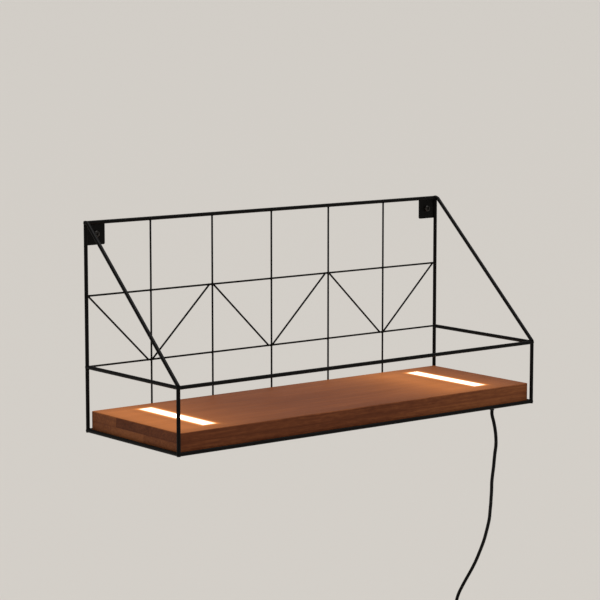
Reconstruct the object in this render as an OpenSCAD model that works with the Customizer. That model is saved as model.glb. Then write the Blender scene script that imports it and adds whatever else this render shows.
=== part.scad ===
// Wall lamp with a shelf: a welded wire frame carries an oak-brown board, and two
// opal light slots are let into the board's top. All lengths are in millimetres.
// The origin lies on the wall, midway between the two screw holes: +X to the
// right, +Y into the wall and +Z up, so the lamp stands out towards -Y.

/* [Frame] */
// Overall width of the wire frame
frame_w = 600; // [540:5:760]
// Overall height of the wire frame
frame_h = 273; // [245:1:330]
// Overall depth of the wire frame, from the wall to its front
frame_d = 206; // [196:1:240]
// Diameter of the frame's rods
rod_d = 5; // [4:0.5:6]
// Diameter of the grid's wires
wire_d = 2.5; // [1.5:0.25:2.5]
// Height of the guard rail over the bottom rail, centre to centre
guard_rise = 82.5; // [60:0.5:100]
// Drop of the upper grid wire below the top rail, centre to centre
upper_wire_drop = 94; // [60:0.5:110]
// Distance from an upright to the end of a zigzag wire
zigzag_inset = 3; // [2.5:0.5:12]

/* [Wall tabs] */
// Width of a wall tab, out from the post
tab_w = 27; // [22:0.5:40]
// Height of a wall tab, down from the top rail
tab_h = 26.5; // [22:0.5:40]
// Thickness of the tab's plate
tab_t = 2; // [1.5:0.25:3]
// Diameter of the screw hole
hole_d = 5; // [3.5:0.5:6]
// Distance of the hole from the post's centreline
hole_in = 16; // [12:0.5:18]
// Distance of the hole below the top rail's centreline
hole_down = 15; // [12:0.5:18]

/* [Shelf board] */
// Thickness of the board
board_t = 26; // [22:0.5:32]
// Width of the bevel along the board's edges
board_ease = 1; // [0.5:0.25:2]
// Gap between the board's ends and the posts
end_gap = 1; // [0.5:0.5:5]
// Gap between the board and the front and back rails
rail_gap = 1; // [0.5:0.5:4]
// Width of the straps that carry the board
strap_w = 15; // [10:1:25]
// Thickness of the straps
strap_t = 2; // [1.5:0.25:3]
// Distance of a strap's middle from the board's end
strap_from_end = 120; // [100:1:160]
// Distance of the strap's screws from the board's front and back
strap_screw_in = 18; // [12:1:22]

/* [Light slots] */
// Width of a slot in the board's top
slot_w = 22; // [20:0.5:32]
// Length of a slot, front to back
slot_len = 143; // [110:1:150]
// Depth of a slot
slot_depth = 12; // [10:0.5:13]
// Radius of a slot's corners
slot_corner_r = 1; // [1:0.5:4]
// Distance of a slot's middle from the board's end
slot_from_end = 65; // [50:0.5:80]
// Distance of a slot from the board's back edge
slot_back = 25.5; // [18:0.5:30]
// Thickness of the opal lens
lens_t = 3; // [2:0.5:4]
// Width of the ledge that the lens rests on
ledge_w = 3; // [2:0.5:4]
// Play round the lens
lens_play = 0.2; // [0.1:0.05:0.4]
// Width of the circuit board that carries the diodes
led_board_w = 12; // [8:0.5:13]
// Gap between the circuit board and each end of its trough
led_end_gap = 4.5; // [2:0.5:12]
// Thickness of the circuit board
led_board_t = 1.6; // [1:0.1:2]
// Side of one diode
led_side = 3; // [2:0.5:5]
// Height of one diode
led_h = 0.8; // [0.5:0.1:1.5]

/* [Wiring in the board] */
// Thickness of the bottom cover
cover_t = 1.5; // [1:0.25:2]
// Play round the bottom cover in its recess
cover_play = 0.3; // [0.2:0.1:1]
// Width of the wiring channel
channel_w = 14; // [12:0.5:18]
// Height of the wiring channel over the cover
channel_h = 8; // [7:0.5:9]
// Length of the driver
driver_l = 110; // [60:1:140]
// Width of the driver
driver_w = 32; // [20:1:36]
// Height of the driver
driver_h = 15; // [10:0.5:16]
// Sideways place of the driver's middle
driver_x = 40; // [0:1:60]
// Room round the driver in its pocket
driver_room = 5; // [3:0.5:8]
// Diameter of one insulated core
core_d = 2; // [1.5:0.1:2.4]
// Spacing of a pair of cores, centre to centre
core_pitch = 2.6; // [2.5:0.1:3]

/* [Lead] */
// Diameter of the mains lead
lead_d = 4.8; // [4.5:0.1:5.2]
// Distance of the strain relief from the board's right end
relief_from_end = 23; // [18:0.5:24]
// Distance of the strain relief from the board's front edge
relief_from_front = 46.5; // [38:0.5:60]
// Length of the strain relief below the board
relief_l = 15.5; // [10:0.5:24]
// Diameter of the strain relief's flange
relief_flange_d = 13; // [11:0.5:16]
// Thickness of the strain relief's flange
relief_flange_t = 2; // [1.5:0.25:2]
// Diameter of the strain relief's barrel through the cover
relief_barrel_d = 8; // [7:0.5:9]
// Radius of the coil at the middle of its turns
coil_mid_r = 28.8; // [27:0.2:32]
// Gap between the coil's turns, and between its layers
coil_gap = 0.45; // [0.45:0.05:0.8]
// Length of the straight lead between the switch and the coil's middle height
coil_drop = 38; // [36:1:60]
// Length of the straight lead between the coil's middle height and the plug
plug_drop = 38; // [36:1:60]

/* [Switch] */
// Length of the switch's body without its necks
switch_l = 44; // [40:1:56]
// Width of the switch
switch_w = 28; // [26:0.5:36]
// Thickness of the switch
switch_t = 20; // [18:0.5:26]
// Length of each neck, where the lead goes in
neck_l = 8; // [6:0.5:14]
// Wall of the switch's shells
shell_t = 2; // [1.5:0.25:2.5]
// Radius of the switch's corners, seen from the front
switch_corner = 8; // [6:0.5:10]
// Width of the bevel along the switch's front and back edges
switch_ease = 1.2; // [0.6:0.1:1.5]
// Width of the rocker
rocker_w = 12; // [9:0.5:12]
// Radius of the rocker's ends about its pivot
rocker_r = 10.2; // [8:0.1:10.5]
// Tilt of the rocker each way from its middle, in degrees
rocker_tilt = 8; // [5:1:9]
// Play between the rocker and the edge of its window
rocker_play = 0.35; // [0.3:0.05:0.6]
// Diameter of the rocker's trunnions
pin_d = 3; // [2.5:0.25:3.5]

/* [Plug] */
// Width of the plug
plug_w = 35.3; // [34:0.1:37]
// Thickness of the plug
plug_t = 13.7; // [13:0.1:15]
// Length of the plug's body, with its tapered neck
plug_l = 44; // [40:1:54]
// Spacing of the pins
pin_pitch = 18.6; // [18:0.1:19.2]
// Diameter of a pin
plug_pin_d = 4; // [3.5:0.1:4.8]
// Length of a pin outside the body
plug_pin_l = 19; // [17:0.5:20]

/* [Hidden] */
$fn = 32;
eps = 0.01;

// The frame's centrelines
rod_r = rod_d / 2;
wire_r = wire_d / 2;
post_x = frame_w / 2 - rod_r;
back_y = -rod_r;
front_y = -frame_d + rod_r;
top_z = hole_down;
bottom_z = top_z - frame_h + rod_d;
guard_z = bottom_z + guard_rise;
upper_z = top_z - upper_wire_drop;
lower_z = guard_z;
bays = 6;
bay_w = 2 * post_x / bays;
// The level wires and the zigzag lie against the wall, and the uprights in front of them
level_y = -wire_r;
upright_y = level_y - wire_d;
// How far short of its neighbour's centreline a rod is cut before it is saddled
butt = rod_d / 5;
hole_x = post_x - hole_in;

// The board, resting on its straps
board_w = 2 * (post_x - rod_r - end_gap);
board_back = back_y - rod_r - rail_gap;
board_front = front_y + rod_r + rail_gap;
strap_z = bottom_z - rod_r;
under_z = strap_z + strap_t;
board_top = under_z + board_t;
strap_x = board_w / 2 - strap_from_end;
strap_screw_ys = [board_back - strap_screw_in, board_front + strap_screw_in];
screw_shank_d = 3;
screw_head_d = 6;
screw_head_t = 1.8;
screw_len = 16;

// The light slots
slot_x = board_w / 2 - slot_from_end;
slot_y1 = board_back - slot_back;
slot_y0 = slot_y1 - slot_len;
slot_mid_y = (slot_y0 + slot_y1) / 2;
slot_floor = board_top - slot_depth;
lens_z = board_top - lens_t;
trough_len = slot_len - 2 * ledge_w;
trough_w = slot_w - 2 * ledge_w;
trough_corner_r = slot_corner_r / 2;
led_board_len = trough_len - 2 * led_end_gap;
led_count = 14;

// The wiring: a channel under both slots, a pocket for the driver, and a branch
// to the strain relief, which lies past the right slot and behind the front edge
cover_z = under_z + cover_t;
channel_top = cover_z + channel_h;
relief_x = board_w / 2 - relief_from_end;
relief_y = board_front + relief_from_front;
relief_end_z = under_z - relief_l;
collar_rim = 0.8;
collar_d = relief_barrel_d + 2 * collar_rim;
collar_t = 1.5;
cover_margin = 14;
pocket_margin = 12;
cover_x0 = -slot_x - cover_margin;
cover_x1 = relief_x + cover_margin;
cover_y0 = relief_y - cover_margin;
cover_y1 = slot_mid_y + driver_w / 2 + driver_room + pocket_margin;
cover_screw_in = 5;
cover_screw_len = 9;
cover_screw_d = 2.4;
cover_head_d = 4.6;
cover_head_t = 1.2;

// Cores run in pairs: the diodes' pair behind the channel's middle, the mains pair
// before it and close under its top, from where it turns down to the relief
core_bend = 3;
core_play = 0.5;
led_pair_y = slot_mid_y + channel_w / 4;
led_pair_z = cover_z + channel_h / 2;
mains_pair_y = slot_mid_y - channel_w / 4;
mains_pair_z = channel_top - core_d / 2 - core_play;
relief_top_z = mains_pair_z - core_bend - core_play;
mains_turn_r = 6;

// The lead's free stretch, as points on its centreline, measured from the relief's end
lead_points = [
    [0, 0, 0], [0, 0, -6], [3, -0.5, -17], [6, -0.5, -29], [9, 1, -40.5], [12, 4, -52.5],
    [14.5, 8.5, -64.5], [17.5, 13, -76], [20.5, 17.5, -88], [24, 23, -100],
    [28, 28.5, -111.5], [32.5, 33.5, -123.5], [37, 39, -135.5], [41.5, 44.5, -147],
    [46, 50.5, -159], [50.5, 56.5, -171], [54.5, 63.5, -183], [58, 70.5, -194.5],
    [61, 77.5, -206.5], [63.5, 85, -218.5], [65.5, 92.5, -230], [67, 100, -242],
    [67.5, 107.5, -254], [67.5, 115, -265.5], [66.5, 122.5, -277.5], [65.5, 129.5, -289.5],
    [64.5, 135.5, -301], [64, 139.5, -313], [64, 141, -322], [64, 141, -331]];
route = [for (p = lead_points) [relief_x, relief_y, relief_end_z] + p];
route_end = route[len(route) - 1];
switch_x = route_end[0];
switch_y = route_end[1];
switch_z = route_end[2] - neck_l - switch_l / 2;
neck_top_d = 8;
neck_root_d = 12;

// The coil: two layers of three and a half turns, in and out again
coil_half_turns = 3.5;
coil_pitch = lead_d + coil_gap;
coil_turns = 2 * coil_half_turns;
coil_out_r = coil_mid_r + coil_pitch * coil_half_turns / 2;
coil_in_r = coil_out_r - coil_pitch * coil_half_turns;
coil_x = switch_x - coil_out_r;
coil_z = switch_z - switch_l / 2 - neck_l - coil_drop;
coil_y1 = switch_y;
coil_y2 = switch_y + coil_pitch;
coil_rings = 24;
plug_top_z = coil_z - plug_drop;
plug_y = coil_y2;

// ---- Shapes that repeat ----

// A round rod between two points
module rod(from, to, d) {
    along = to - from;
    length = norm(along);
    translate(from)
        rotate([0, acos(along[2] / length), atan2(along[1], along[0])])
            cylinder(h = length, d = d);
}

// A rectangle with round corners, centred, from true arcs
module round_rect(size, r) {
    square([size[0] - 2 * r, size[1]], center = true);
    square([size[0], size[1] - 2 * r], center = true);
    for (sx = [-1, 1])
        for (sy = [-1, 1])
            translate([sx * (size[0] / 2 - r), sy * (size[1] / 2 - r)])
                circle(r);
}

// A rectangle from the origin with its corners cut off at 45 degrees
module cut_rect(size, cut) {
    polygon([
        [cut, 0], [size[0] - cut, 0], [size[0], cut], [size[0], size[1] - cut],
        [size[0] - cut, size[1]], [cut, size[1]], [0, size[1] - cut], [0, cut]]);
}

// A block from the origin with a bevel along all its edges
module eased_block(size, ease) {
    intersection() {
        linear_extrude(size[2])
            cut_rect([size[0], size[1]], ease);
        extrude_y(0, size[1])
            cut_rect([size[0], size[2]], ease);
        rotate([90, 0, 90])
            linear_extrude(size[0])
                cut_rect([size[1], size[2]], ease);
    }
}

// A plate of the thickness t along Y, centred, with round corners and beveled edges
module eased_plate(w, t, l, r, ease) {
    translate([-w / 2 + r, -t / 2, -l / 2])
        rotate([90, 0, 90])
            linear_extrude(w - 2 * r)
                cut_rect([t, l], ease);
    translate([-w / 2, -t / 2, -l / 2 + r])
        linear_extrude(l - 2 * r)
            cut_rect([w, t], ease);
    for (sx = [-1, 1])
        for (sz = [-1, 1])
            translate([sx * (w / 2 - r), 0, sz * (l / 2 - r)])
                rotate([90, 0, 0])
                    rotate_extrude()
                        polygon([
                            [0, -t / 2], [r - ease, -t / 2], [r, -t / 2 + ease],
                            [r, t / 2 - ease], [r - ease, t / 2], [0, t / 2]]);
}

// Extrudes a shape drawn in X and Z, from the depth y0 back to y1
module extrude_y(y0, y1) {
    translate([0, y1, 0])
        rotate([90, 0, 0])
            linear_extrude(y1 - y0)
                children();
}

// A flat screw: its head starts at the origin, and its shank runs along +Z
module flat_screw(d, length, head_d, head_t) {
    cylinder(h = head_t, d = head_d);
    cylinder(h = length, d = d);
}

// ---- The wire frame ----

// A post's centreline as a rod, from the frame's top to its bottom
module whole_post(sx, y, margin = 0) {
    rod([sx * post_x, y, bottom_z - rod_r - margin], [sx * post_x, y, top_z + rod_r + margin], rod_d);
}

// A rail's centreline as a rod, from post to post
module whole_rail(y, z) {
    rod([-post_x, y, z], [post_x, y, z], rod_d);
}

// A rail along the wall, saddled onto the posts at its ends
module long_rail(y, z) {
    difference() {
        rod([-post_x + butt, y, z], [post_x - butt, y, z], rod_d);
        for (sx = [-1, 1])
            whole_post(sx, y, 1);
    }
}

// A rail out from the wall, saddled onto two posts and mitred round the long rails
module side_rail(sx, z) {
    difference() {
        rod([sx * post_x, back_y - butt, z], [sx * post_x, front_y + butt, z], rod_d);
        for (y = [back_y, front_y]) {
            whole_post(sx, y, 1);
            if (z != guard_z || y == front_y)
                whole_rail(y, z);
        }
    }
}

module back_post(sx) {
    whole_post(sx, back_y);
}

module front_post(sx) {
    rod([sx * post_x, front_y, bottom_z - rod_r], [sx * post_x, front_y, guard_z + rod_r], rod_d);
}

// A brace leans from the top corner at the wall to the guard rail's front corner
module brace(sx) {
    top = [sx * post_x, back_y, top_z];
    foot = [sx * post_x, front_y, guard_z];
    along = (foot - top) / norm(foot - top);
    difference() {
        rod(top + along * butt, foot - along * butt, rod_d);
        whole_post(sx, back_y, 1);
        whole_post(sx, front_y, 1);
        whole_rail(back_y, top_z);
        whole_rail(front_y, guard_z);
        rod([sx * post_x, back_y, guard_z], [sx * post_x, front_y - 1, guard_z], rod_d);
    }
}

module grid_upright(i) {
    x = -post_x + i * bay_w;
    difference() {
        rod([x, upright_y, bottom_z], [x, upright_y, top_z], wire_d);
        whole_rail(back_y, bottom_z);
        whole_rail(back_y, top_z);
    }
}

module grid_wire(z) {
    difference() {
        rod([-post_x, level_y, z], [post_x, level_y, z], wire_d);
        for (sx = [-1, 1])
            whole_post(sx, back_y, 1);
    }
}

// Zigzag wires fall and rise by turns between the two level wires
module zigzag_wire(i) {
    x0 = -post_x + (i - 1) * bay_w + zigzag_inset;
    x1 = -post_x + i * bay_w - zigzag_inset;
    falls = i % 2 == 1;
    z0 = falls ? upper_z : lower_z;
    z1 = falls ? lower_z : upper_z;
    bite = wire_r / 5;
    difference() {
        intersection() {
            rod([x0, level_y, z0], [x1, level_y, z1], wire_d);
            translate([x0 - wire_d, level_y - wire_d, lower_z + wire_r - bite])
                cube([x1 - x0 + 2 * wire_d, 2 * wire_d, upper_z - lower_z - wire_d + 2 * bite]);
        }
        for (z = [lower_z, upper_z])
            rod([x0 - wire_d, level_y, z], [x1 + wire_d, level_y, z], wire_d);
        for (sx = [-1, 1])
            whole_post(sx, back_y, 1);
    }
}

// A tab fills the inner top corner, flush with the wall, and takes one screw
module wall_tab(sx) {
    corner_r = 2;
    inner_x = post_x - rod_r - tab_w;
    low_z = top_z - rod_r - tab_h;
    difference() {
        scale([sx, 1, 1])
            extrude_y(-tab_t, 0) {
                translate([inner_x + corner_r, low_z + corner_r])
                    circle(corner_r);
                translate([inner_x, low_z + corner_r])
                    square([post_x - inner_x, top_z - low_z - corner_r]);
                translate([inner_x + corner_r, low_z])
                    square([post_x - inner_x - corner_r, top_z - low_z]);
            }
        whole_post(sx, back_y, 1);
        whole_rail(back_y, top_z);
        rod([sx * hole_x, -tab_t - 1, 0], [sx * hole_x, 1, 0], hole_d);
    }
}

// A flat strap under the board joins the bottom rails, with two screw holes
module board_strap(sx) {
    difference() {
        translate([sx * strap_x - strap_w / 2, front_y + butt, strap_z])
            cube([strap_w, back_y - front_y - 2 * butt, strap_t]);
        for (y = [back_y, front_y])
            whole_rail(y, bottom_z);
        for (y = strap_screw_ys)
            translate([sx * strap_x, y, strap_z - 1])
                cylinder(h = strap_t + 2, d = screw_shank_d);
    }
}

// ---- The board ----

// One slot: a shallow rebate for the lens over a narrower trough, with a wire hole
module slot_cut(sx) {
    translate([sx * slot_x, slot_mid_y, lens_z])
        linear_extrude(lens_t + 1)
            round_rect([slot_w, slot_len], slot_corner_r);
    translate([sx * slot_x, slot_mid_y, slot_floor])
        linear_extrude(slot_depth)
            round_rect([trough_w, trough_len], trough_corner_r);
    translate([sx * slot_x, led_pair_y, under_z])
        cylinder(h = slot_floor - under_z + 1, d = core_pitch + core_d + 2);
}

module driver_pocket() {
    translate([driver_x - driver_l / 2 - driver_room, slot_mid_y - driver_w / 2 - driver_room, under_z - 1])
        cube([driver_l + 2 * driver_room, driver_w + 2 * driver_room, 1 + cover_t + driver_h + 1]);
}

// The cover's recess, the channel under both slots, and the branch to the relief
module wiring_cut() {
    branch_y0 = relief_y - collar_d / 2 - 1;
    recess_l = cover_x1 - cover_x0 + 2 * cover_play;
    recess_w = cover_y1 - cover_y0 + 2 * cover_play;
    translate([cover_x0 - cover_play, cover_y0 - cover_play, under_z - 1])
        cube([recess_l, recess_w, cover_t + 1]);
    translate([-slot_x - channel_w / 2, slot_mid_y - channel_w / 2, under_z])
        cube([slot_x + relief_x + channel_w, channel_w, cover_t + channel_h]);
    translate([relief_x - channel_w / 2, branch_y0, under_z])
        cube([channel_w, slot_mid_y + channel_w / 2 - branch_y0, cover_t + channel_h]);
    driver_pocket();
}

function cover_screw_places() = [
    for (y = [cover_y0 + cover_screw_in, cover_y1 - cover_screw_in])
        for (i = [0:3])
            [cover_x0 + cover_screw_in + i * (cover_x1 - cover_x0 - 2 * cover_screw_in) / 3, y]];

module shelf_board() {
    color("#8c5a38")
        difference() {
            translate([-board_w / 2, board_front, under_z])
                eased_block([board_w, board_back - board_front, board_t], board_ease);
            for (sx = [-1, 1])
                slot_cut(sx);
            wiring_cut();
            for (sx = [-1, 1])
                for (y = strap_screw_ys)
                    translate([sx * strap_x, y, under_z - 1])
                        cylinder(h = screw_len - strap_t - screw_head_t + 2, d = screw_shank_d);
            for (p = cover_screw_places())
                translate([p[0], p[1], under_z])
                    cylinder(h = cover_screw_len + 0.5, d = cover_screw_d);
        }
}

// The opal lens is flush with the board's top and rests on the ledge
module lens(sx) {
    color("#fff3dc")
        translate([sx * slot_x, slot_mid_y, lens_z])
            linear_extrude(lens_t)
                round_rect([slot_w - 2 * lens_play, slot_len - 2 * lens_play], slot_corner_r - lens_play);
}

module led_board(sx) {
    color("#e8e6df")
        translate([sx * slot_x - led_board_w / 2, slot_mid_y - led_board_len / 2, slot_floor])
            cube([led_board_w, led_board_len, led_board_t]);
}

module leds(sx) {
    pitch = led_board_len / led_count;
    color("#f2d98a")
        for (i = [0:led_count - 1])
            translate([
                sx * slot_x - led_side / 2,
                slot_mid_y - led_board_len / 2 + (i + 0.5) * pitch - led_side / 2,
                slot_floor + led_board_t])
                cube([led_side, led_side, led_h]);
}

// The driver lies on the cover, with a raised lid between its terminal ends
module led_driver() {
    terminal_l = 12;
    step_h = driver_h * 0.7;
    color("#dcdcd8")
        translate([driver_x - driver_l / 2, slot_mid_y - driver_w / 2, cover_z]) {
            cube([driver_l, driver_w, step_h]);
            translate([terminal_l, 0, step_h])
                cube([driver_l - 2 * terminal_l, driver_w, driver_h - step_h]);
        }
}

// A quarter bend of a core about the origin, from the X axis to the Y axis
module core_bend_quarter(r) {
    rotate_extrude(angle = 90)
        translate([r, 0])
            circle(d = core_d);
}

// A pair of cores runs level from the driver to the slot, and turns up into its hole
module led_wires(sx) {
    end_x = sx * slot_x;
    bend_x = end_x - sx * core_bend;
    for (i = [-1, 1]) {
        y = led_pair_y + i * core_pitch / 2;
        color(i > 0 ? "#b03028" : "#202020") {
            rod([driver_x + sx * driver_l / 2, y, led_pair_z], [bend_x, y, led_pair_z], core_d);
            translate([bend_x, y, led_pair_z + core_bend])
                scale([sx, 1, 1])
                    rotate([90, 0, 0])
                        rotate([0, 0, -90])
                            core_bend_quarter(core_bend);
            rod([end_x, y, led_pair_z + core_bend], [end_x, y, slot_floor], core_d);
        }
    }
}

// The mains pair follows the channel, turns into the branch and down to the relief
module mains_cores() {
    turn_x = relief_x - mains_turn_r;
    turn_y = mains_pair_y - mains_turn_r;
    drop_y = relief_y + core_bend;
    drop_z = mains_pair_z - core_bend;
    for (i = [-1, 1]) {
        side = i * core_pitch / 2;
        color(i > 0 ? "#3b6fb0" : "#6b4426") {
            rod([driver_x + driver_l / 2, mains_pair_y + side, mains_pair_z],
                [turn_x, mains_pair_y + side, mains_pair_z], core_d);
            translate([turn_x, turn_y, mains_pair_z])
                core_bend_quarter(mains_turn_r + side);
            rod([relief_x + side, turn_y, mains_pair_z], [relief_x + side, drop_y, mains_pair_z], core_d);
            translate([relief_x + side, drop_y, drop_z])
                rotate([90, 0, -90])
                    core_bend_quarter(core_bend);
            rod([relief_x + side, relief_y, drop_z], [relief_x + side, relief_y, relief_top_z], core_d);
        }
    }
}

// The cover closes the wiring from below, flush with the board's underside
module bottom_cover() {
    color("#1c1c1c")
        difference() {
            translate([cover_x0, cover_y0, under_z])
                cube([cover_x1 - cover_x0, cover_y1 - cover_y0, cover_t]);
            for (p = cover_screw_places()) {
                translate([p[0], p[1], under_z - 1])
                    cylinder(h = cover_t + 2, d = cover_screw_d);
                translate([p[0], p[1], under_z - 1])
                    cylinder(h = cover_head_t + 1, d = cover_head_d);
            }
            translate([relief_x, relief_y, under_z - 1])
                cylinder(h = cover_t + 2, d = relief_barrel_d);
        }
}

module strap_screws() {
    color("#2a2a2a")
        for (sx = [-1, 1])
            for (y = strap_screw_ys)
                translate([sx * strap_x, y, strap_z - screw_head_t])
                    flat_screw(screw_shank_d, screw_len, screw_head_d, screw_head_t);
}

module cover_screws() {
    color("#2a2a2a")
        for (p = cover_screw_places())
            translate([p[0], p[1], under_z])
                flat_screw(cover_screw_d, cover_screw_len, cover_head_d, cover_head_t);
}

// ---- The lead ----

// A tapered relief snaps into the cover; its ringed tail keeps the lead from kinking
module strain_relief() {
    tail_top = under_z - relief_flange_t;
    tail_l = tail_top - relief_end_z;
    tail_d = lead_d + 2 * collar_rim;
    groove = 0.6;
    color("#161616")
        translate([relief_x, relief_y, 0])
            rotate_extrude()
                polygon(concat(
                    [[0, relief_end_z], [tail_d / 2, relief_end_z]],
                    [for (i = [0:3]) for (k = [0:3])
                        let (s = (i + [0.25, 0.35, 0.65, 0.75][k]) / 4.5,
                             r = tail_d / 2 + s * (relief_barrel_d - tail_d) / 2)
                        [r - (k == 1 || k == 2 ? groove : 0), relief_end_z + s * tail_l]],
                    [[relief_barrel_d / 2, tail_top], [relief_flange_d / 2, tail_top + 0.5],
                     [relief_flange_d / 2, under_z], [relief_barrel_d / 2, under_z],
                     [relief_barrel_d / 2, cover_z], [collar_d / 2, cover_z],
                     [relief_barrel_d / 2, cover_z + collar_t],
                     [relief_barrel_d / 2, relief_top_z], [0, relief_top_z]]));
}

function unit(v) = v / norm(v);
function heading(path, i) =
    unit(path[min(i + 1, len(path) - 1)] - path[max(i - 1, 0)]);
function end_heading(path, i) =
    i == 0 ? unit(path[1] - path[0])
    : i == len(path) - 1 ? unit(path[i] - path[i - 1])
    : heading(path, i);
function ring_across(t) = unit(cross(t, [0, 1, 0]));

// A round tube along a path that never runs straight into the wall
module tube(path, d, sides) {
    n = len(path);
    points = [
        for (i = [0:n - 1])
            let (t = end_heading(path, i), u = ring_across(t), v = cross(t, u))
                for (k = [0:sides - 1])
                    path[i] + d / 2 * (cos(360 * k / sides) * u + sin(360 * k / sides) * v)];
    walls = [
        for (i = [0:n - 2])
            for (k = [0:sides - 1])
                let (a = i * sides + k, b = i * sides + (k + 1) % sides)
                    for (f = [[a, a + sides, b], [b, a + sides, b + sides]])
                        f];
    start = [for (k = [1:sides - 2]) [0, k, k + 1]];
    last = (n - 1) * sides;
    end = [for (k = [1:sides - 2]) [last, last + k + 1, last + k]];
    polyhedron(points = points, faces = concat(start, walls, end), convexity = 10);
}

module lead() {
    color("#141414")
        tube(route, lead_d, 10);
}

function coil_r(t) =
    t < coil_half_turns ? coil_out_r - coil_pitch * t
    : coil_in_r + coil_pitch * (t - coil_half_turns);
// The climb to the second layer takes the half turn about the reversal
function coil_climb(t) =
    let (s = min(1, max(0, (t - coil_half_turns + 0.25) / 0.5)))
        s * s * (3 - 2 * s);
function coil_point(t) = [
    coil_x + coil_r(t) * cos(360 * t),
    coil_y1 + (coil_y2 - coil_y1) * coil_climb(t),
    coil_z - coil_r(t) * sin(360 * t)];
coil_steps = coil_rings * coil_turns;
coil_path = concat(
    [[switch_x, coil_y1, coil_z + coil_drop],
     [switch_x, coil_y1, coil_z + coil_drop - lead_d],
     [switch_x, coil_y1, coil_z + lead_d]],
    [for (i = [0:coil_steps]) coil_point(i / coil_rings)],
    [[switch_x, coil_y2, coil_z - lead_d],
     [switch_x, coil_y2, plug_top_z + lead_d],
     [switch_x, coil_y2, plug_top_z]]);

// Least gap between two turns of the coil, and the length of each stretch of the lead
apart = coil_rings / 2;
least_coil_gap = min([
    for (i = [0:coil_steps - apart])
        for (j = [i + apart:coil_steps])
            norm(coil_point(i / coil_rings) - coil_point(j / coil_rings))]) - lead_d;
function path_len(path) =
    let (steps = [for (i = [1:len(path) - 1]) norm(path[i] - path[i - 1])])
        steps * [for (step = steps) 1];
union() {
    echo(least_coil_gap_mm = least_coil_gap);
    echo(lead_mm = path_len(route), lead_coil_mm = path_len(coil_path));
}

module lead_coil() {
    color("#141414")
        tube(coil_path, lead_d, 6);
}

// A strap round the coil's bundle, at the top of the coil
module coil_tie() {
    tie_w = 8;
    tie_t = 1.2;
    play = 0.4;
    sagitta = tie_w * tie_w / (8 * coil_in_r);
    low = coil_in_r + coil_pitch / 4 - lead_d / 2 - sagitta - play;
    high = coil_out_r - coil_pitch / 4 + lead_d / 2 + play;
    deep = coil_pitch + lead_d + 2 * play;
    color("#303030")
        translate([coil_x - tie_w / 2, (coil_y1 + coil_y2) / 2, coil_z + (low + high) / 2])
            rotate([90, 0, 90])
                linear_extrude(tie_w)
                    difference() {
                        round_rect([deep + 2 * tie_t, high - low + 2 * tie_t], 2.5);
                        round_rect([deep, high - low], 1.3);
                    }
}

// ---- The in-line switch, in its own frame: front towards -Y, lead along Z ----

pivot_y = -switch_t / 4;
rib_play = 0.4;
rib_x0 = rocker_w / 2 + rib_play;
rib_t = 3;
rib_h = 8;
bearing_play = 0.3;
boss_d = 6;
boss_places = [[switch_w / 2 - 5, switch_l / 2 - 6], [-switch_w / 2 + 5, -switch_l / 2 + 6]];
case_screw_d = 2.2;
case_head_d = 4.4;
case_head_t = 1.8;
case_screw_len = 11;
terminal = [6.5, 5, 7];
terminal_y = switch_t / 2 - shell_t - terminal[1] / 2;
terminal_z = switch_l / 2 - shell_t - terminal[2] / 2 - 2;

module at_switch() {
    translate([switch_x, switch_y, switch_z])
        children();
}

module switch_block() {
    eased_plate(switch_w, switch_t, switch_l, switch_corner, switch_ease);
}

// The hollow inside the shells, as seen from the front
module switch_hollow() {
    round_rect([switch_w - 2 * shell_t, switch_l - 2 * shell_t], switch_corner - shell_t);
}

module switch_necks() {
    for (s = [-1, 1])
        translate([0, 0, s * (switch_l / 2 - 1)])
            rotate([s > 0 ? 0 : 180, 0, 0])
                cylinder(h = neck_l + 1, d1 = neck_root_d, d2 = neck_top_d);
}

// Keeps the half of the shape that lies in front of or behind the joint
module half(front) {
    intersection() {
        children();
        translate([-switch_w, front ? -switch_t : 0, -switch_l])
            cube([2 * switch_w, switch_t, 2 * switch_l]);
    }
}

module rocker_window() {
    intersection() {
        translate([-rocker_w / 2 - rocker_play, -switch_t, -switch_l / 2])
            cube([rocker_w + 2 * rocker_play, switch_t, switch_l]);
        rod([-rocker_w, pivot_y, 0], [rocker_w, pivot_y, 0], 2 * (rocker_r + rocker_play));
    }
}

module switch_cover() {
    color("#1a1a1a")
        at_switch()
            difference() {
                union() {
                    half(true)
                        difference() {
                            union() {
                                switch_block();
                                switch_necks();
                            }
                            extrude_y(-switch_t / 2 + shell_t, 1)
                                switch_hollow();
                        }
                    for (p = boss_places)
                        extrude_y(-switch_t / 2 + shell_t / 2, 0)
                            translate(p)
                                circle(d = boss_d);
                    for (sx = [-1, 1])
                        translate([
                            sx * (rib_x0 + rib_t / 2) - rib_t / 2,
                            -switch_t / 2 + shell_t / 2,
                            -rib_h / 2])
                            cube([rib_t, switch_t / 2 - shell_t / 2 - 1, rib_h]);
                }
                rocker_window();
                rod([-rib_x0 - rib_t, pivot_y, 0], [rib_x0 + rib_t, pivot_y, 0], pin_d + bearing_play);
                translate([-rib_x0 - rib_t - eps, pivot_y, -(pin_d + bearing_play) / 2])
                    cube([2 * (rib_x0 + rib_t + eps), switch_t, pin_d + bearing_play]);
                for (p = boss_places)
                    extrude_y(-switch_t / 2 + shell_t, 1)
                        translate(p)
                            circle(d = case_screw_d);
            }
}

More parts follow.
